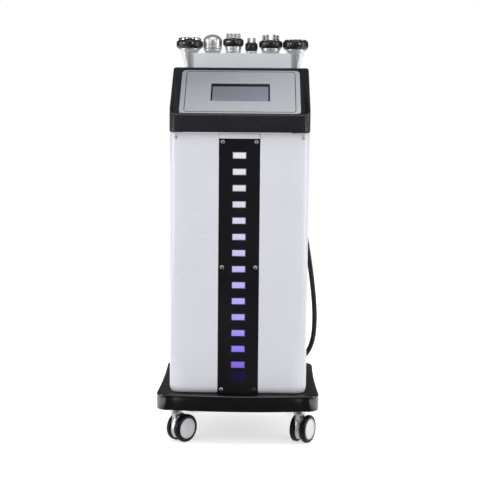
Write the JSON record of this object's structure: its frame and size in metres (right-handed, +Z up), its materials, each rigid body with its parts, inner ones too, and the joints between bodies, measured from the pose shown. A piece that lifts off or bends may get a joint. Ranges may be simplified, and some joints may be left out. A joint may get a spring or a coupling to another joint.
{
  "type": "cavitation slimming machine",
  "caption": "Upright wheeled treatment machine with a sloping screen console, a rear rack of handpieces, a light column and swivel casters.",
  "frame": {"origin": "on the floor, under the middle of the base", "axes": "+Z up, the front faces -Y, +X to the right of someone looking at the front"},
  "size_m": [0.445, 0.444, 1.1148],
  "materials": {
    "black_plastic": "satin black moulding",
    "white_paint": "glossy white coat",
    "grey_paint": "satin light grey coat",
    "black_panel": "gloss black sheet",
    "rubber": "matt black rubber",
    "wheel": "black tyre with a light grey hub cap",
    "zinc": "zinc plated",
    "chrome": "polished",
    "brushed": "satin",
    "display": "dark display glass",
    "lilac": "milky light diffuser",
    "board": "circuit board"
  },
  "bodies": {
    "root": {"base_shell": "black_plastic", "base_plate": "zinc", "tower_cover_left": "white_paint", "tower_cover_right": "white_paint", "centre_panel": "black_panel", "light_diffuser": "lilac", "chassis": "zinc", "power_supply": "brushed", "ultrasound_generator": "brushed", "radio_generator": "zinc", "rear_panel": "white_paint", "socket_block": "black_plastic", "mains_inlet": "black_plastic", "fan_frame": "black_plastic", "console_housing": "black_plastic", "console_fascia": "grey_paint", "display_glass": "display", "display_module": "board", "rack_plate": "grey_paint", "rack_shelf": "grey_paint", "rack_liner": "rubber", "handpiece_6_lead": "rubber", "lead_connector": "black_plastic", "caster_front_left_mount": "zinc", "caster_front_right_mount": "zinc", "caster_rear_left_mount": "zinc", "caster_rear_right_mount": "zinc"},
    "rocker": {"rocker_switch": "black_plastic"},
    "fan": {"fan_rotor": "black_plastic"},
    "caster_front_left": {"caster_front_left_yoke": "zinc"},
    "caster_front_left_wheel_left": {"caster_front_left_wheel_left": "wheel"},
    "caster_front_left_wheel_right": {"caster_front_left_wheel_right": "wheel"},
    "caster_front_left_brake": {"caster_front_left_brake": "zinc"},
    "caster_front_right": {"caster_front_right_yoke": "zinc"},
    "caster_front_right_wheel_left": {"caster_front_right_wheel_left": "wheel"},
    "caster_front_right_wheel_right": {"caster_front_right_wheel_right": "wheel"},
    "caster_front_right_brake": {"caster_front_right_brake": "zinc"},
    "caster_rear_left": {"caster_rear_left_yoke": "zinc"},
    "caster_rear_left_wheel_left": {"caster_rear_left_wheel_left": "wheel"},
    "caster_rear_left_wheel_right": {"caster_rear_left_wheel_right": "wheel"},
    "caster_rear_right": {"caster_rear_right_yoke": "zinc"},
    "caster_rear_right_wheel_left": {"caster_rear_right_wheel_left": "wheel"},
    "caster_rear_right_wheel_right": {"caster_rear_right_wheel_right": "wheel"},
    "handpiece_1": {"handpiece_1_handle": "brushed", "handpiece_1_collar": "black_plastic", "handpiece_1_electrode": "chrome"},
    "handpiece_2": {"handpiece_2_handle": "brushed", "handpiece_2_dome": "chrome"},
    "handpiece_3": {"handpiece_3_handle": "brushed", "handpiece_3_collar": "black_plastic", "handpiece_3_electrode": "chrome"},
    "handpiece_4": {"handpiece_4_handle": "brushed", "handpiece_4_collar": "black_plastic", "handpiece_4_electrode": "chrome"},
    "handpiece_5": {"handpiece_5_handle": "brushed", "handpiece_5_collar": "black_plastic", "handpiece_5_electrode": "chrome"},
    "handpiece_6": {"handpiece_6_handle": "brushed", "handpiece_6_collar": "black_plastic", "handpiece_6_electrode": "chrome"}
  },
  "joints": [
    {"name": "caster_front_left_swivel", "type": "hinge", "parent": "root", "child": "caster_front_left", "pos_m": [-0.165, -0.158, 0.09], "axis": [0, 0, 1], "continuous": true},
    {"name": "caster_front_left_wheel_left_spin", "type": "hinge", "parent": "caster_front_left", "child": "caster_front_left_wheel_left", "pos_m": [-0.15028, -0.14165, 0.03693], "axis": [-0.7431, 0.6691, 0], "continuous": true},
    {"name": "caster_front_left_wheel_right_spin", "type": "hinge", "parent": "caster_front_left", "child": "caster_front_left_wheel_right", "pos_m": [-0.15028, -0.14165, 0.03693], "axis": [-0.7431, 0.6691, 0], "continuous": true},
    {"name": "caster_front_left_brake_press", "type": "hinge", "parent": "caster_front_left", "child": "caster_front_left_brake", "pos_m": [-0.14994, -0.14128, 0.085], "axis": [-0.7431, 0.6691, 0], "range_deg": [0, 18]},
    {"name": "caster_front_right_swivel", "type": "hinge", "parent": "root", "child": "caster_front_right", "pos_m": [0.165, -0.158, 0.09], "axis": [0, 0, 1], "continuous": true},
    {"name": "caster_front_right_wheel_left_spin", "type": "hinge", "parent": "caster_front_right", "child": "caster_front_right_wheel_left", "pos_m": [0.17567, -0.13876, 0.03693], "axis": [-0.8746, 0.4848, 0], "continuous": true},
    {"name": "caster_front_right_wheel_right_spin", "type": "hinge", "parent": "caster_front_right", "child": "caster_front_right_wheel_right", "pos_m": [0.17567, -0.13876, 0.03693], "axis": [-0.8746, 0.4848, 0], "continuous": true},
    {"name": "caster_front_right_brake_press", "type": "hinge", "parent": "caster_front_right", "child": "caster_front_right_brake", "pos_m": [0.17591, -0.13832, 0.085], "axis": [-0.8746, 0.4848, 0], "range_deg": [0, 18]},
    {"name": "caster_rear_left_swivel", "type": "hinge", "parent": "root", "child": "caster_rear_left", "pos_m": [-0.165, 0.158, 0.09], "axis": [0, 0, 1], "continuous": true},
    {"name": "caster_rear_left_wheel_left_spin", "type": "hinge", "parent": "caster_rear_left", "child": "caster_rear_left_wheel_left", "pos_m": [-0.15028, 0.17435, 0.03693], "axis": [-0.7431, 0.6691, 0], "continuous": true},
    {"name": "caster_rear_left_wheel_right_spin", "type": "hinge", "parent": "caster_rear_left", "child": "caster_rear_left_wheel_right", "pos_m": [-0.15028, 0.17435, 0.03693], "axis": [-0.7431, 0.6691, 0], "continuous": true},
    {"name": "caster_rear_right_swivel", "type": "hinge", "parent": "root", "child": "caster_rear_right", "pos_m": [0.165, 0.158, 0.09], "axis": [0, 0, 1], "continuous": true},
    {"name": "caster_rear_right_wheel_left_spin", "type": "hinge", "parent": "caster_rear_right", "child": "caster_rear_right_wheel_left", "pos_m": [0.17567, 0.17724, 0.03693], "axis": [-0.8746, 0.4848, 0], "continuous": true},
    {"name": "caster_rear_right_wheel_right_spin", "type": "hinge", "parent": "caster_rear_right", "child": "caster_rear_right_wheel_right", "pos_m": [0.17567, 0.17724, 0.03693], "axis": [-0.8746, 0.4848, 0], "continuous": true},
    {"name": "handpiece_1_lift", "type": "slide", "parent": "root", "child": "handpiece_1", "axis": [0, 0, 1], "range_m": [0, 0.14]},
    {"name": "handpiece_2_lift", "type": "slide", "parent": "root", "child": "handpiece_2", "axis": [0, 0, 1], "range_m": [0, 0.14]},
    {"name": "handpiece_3_lift", "type": "slide", "parent": "root", "child": "handpiece_3", "axis": [0, 0, 1], "range_m": [0, 0.14]},
    {"name": "handpiece_4_lift", "type": "slide", "parent": "root", "child": "handpiece_4", "axis": [0, 0, 1], "range_m": [0, 0.14]},
    {"name": "handpiece_5_lift", "type": "slide", "parent": "root", "child": "handpiece_5", "axis": [0, 0, 1], "range_m": [0, 0.14]},
    {"name": "handpiece_6_lift", "type": "slide", "parent": "root", "child": "handpiece_6", "axis": [0, 0, 1], "range_m": [0, 0.14]},
    {"name": "rocker_press", "type": "hinge", "parent": "root", "child": "rocker", "pos_m": [-0.095, 0.1356, 0.2305], "axis": [1, 0, 0], "range_deg": [0, 14]},
    {"name": "fan_spin", "type": "hinge", "parent": "root", "child": "fan", "pos_m": [0, 0.12, 0.61], "axis": [0, 1, 0], "continuous": true}
  ]
}
